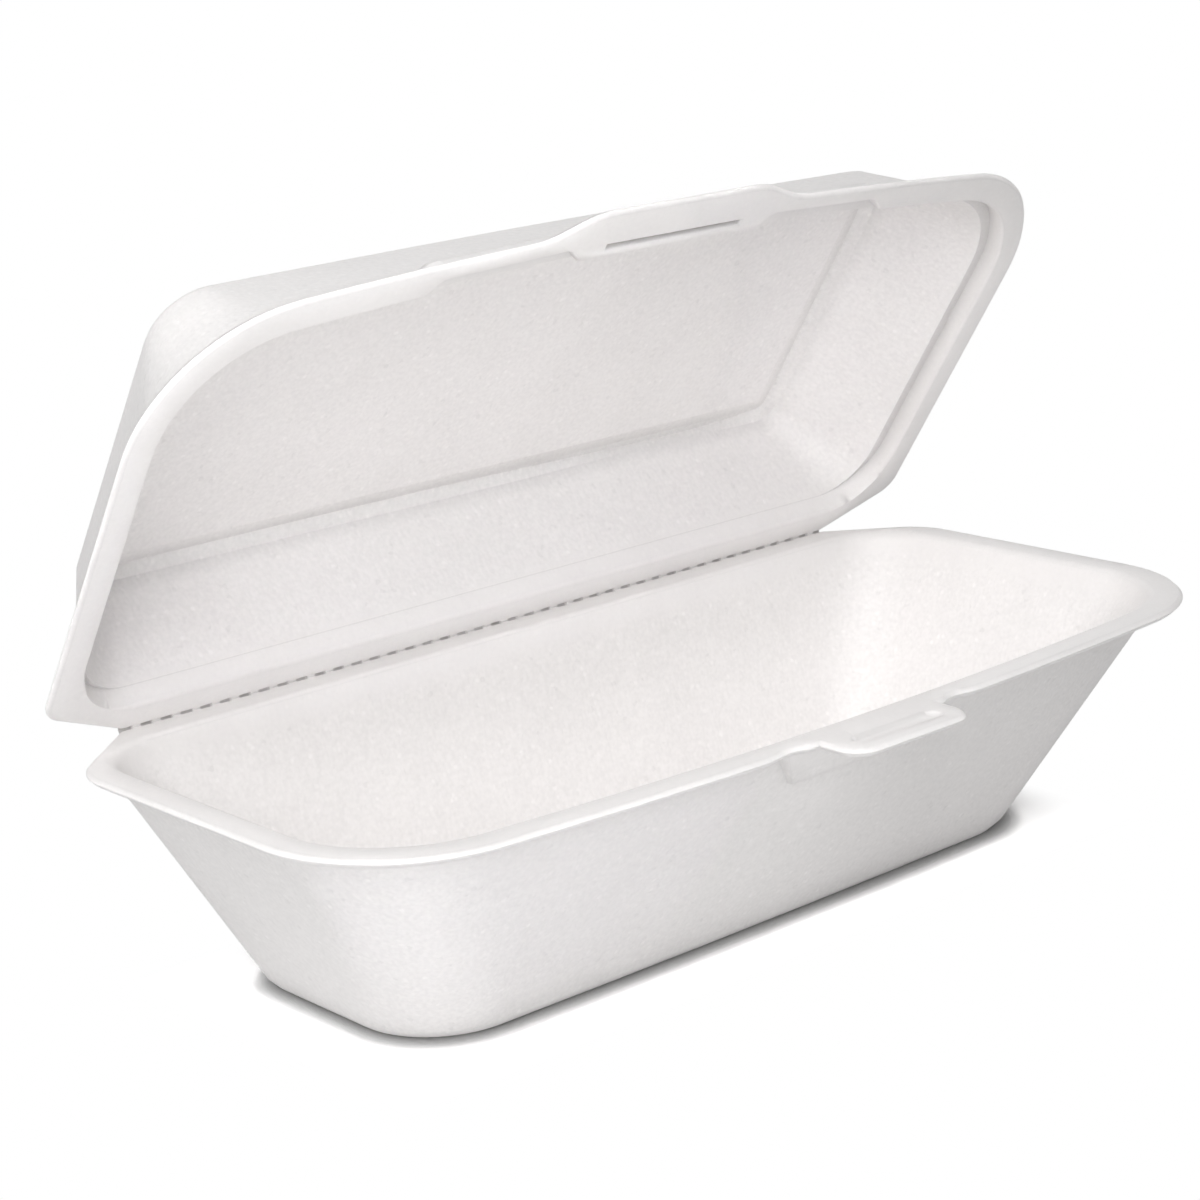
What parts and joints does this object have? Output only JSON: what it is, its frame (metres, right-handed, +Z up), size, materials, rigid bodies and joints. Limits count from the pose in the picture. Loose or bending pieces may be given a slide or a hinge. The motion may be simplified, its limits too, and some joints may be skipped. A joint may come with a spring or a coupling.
{
  "type": "foam clamshell container",
  "caption": "Long foam take-out box with a sloped tray, a hinged tear-off lid and a tongue-and-slot latch at the front.",
  "frame": {"origin": "middle of the tray's flat base, on the table", "axes": "+X along the fold, to the right seen from the front; front faces -Y; +Z up"},
  "size_m": [0.249, 0.1484, 0.1575],
  "materials": {
    "foam": "white expanded foam with a fine cell grain, satin skin"
  },
  "bodies": {
    "tray": {"tray": "foam"},
    "lid": {"lid": "foam"}
  },
  "joints": [
    {"name": "lid_hinge", "type": "hinge", "parent": "tray", "child": "lid", "pos_m": [0, 0.05, 0.055], "axis": [-1, 0, 0], "range_deg": [-54.8, 125.2]}
  ]
}
